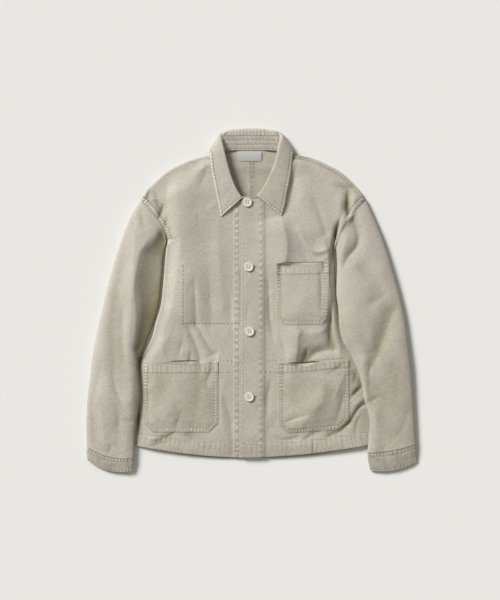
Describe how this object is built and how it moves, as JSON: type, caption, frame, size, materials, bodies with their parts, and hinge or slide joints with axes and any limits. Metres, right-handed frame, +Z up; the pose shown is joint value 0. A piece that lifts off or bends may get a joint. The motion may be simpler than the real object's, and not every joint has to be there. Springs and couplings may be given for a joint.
{
  "type": "chore jacket",
  "caption": "Buttoned cotton twill chore jacket laid flat on its back, with a turned-down collar, a chest pocket, lower patch pockets and cuffed sleeves.",
  "frame": {"origin": "middle of the bounding box at the level of the surface the jacket lies on", "axes": "+X to the wearer's left, +Y from the hem to the collar, +Z up off the surface, out of the front"},
  "size_m": [0.728, 0.7577, 0.0253],
  "materials": {
    "twill": "washed pale khaki cotton twill",
    "label": "woven, bare",
    "button": "satin cream"
  },
  "bodies": {
    "root": {"back_right": "twill", "back_left": "twill", "front_right": "twill", "front_left": "twill", "sleeve_right": "twill", "sleeve_left": "twill", "cuff_right": "twill", "cuff_left": "twill", "collar_leaf": "twill", "collar_stand": "twill", "pocket_chest": "twill", "pocket_lower_left": "twill", "pocket_lower_right": "twill", "neck_label": "label", "button_1": "button", "button_2": "button", "button_3": "button", "button_4": "button"}
  },
  "joints": []
}
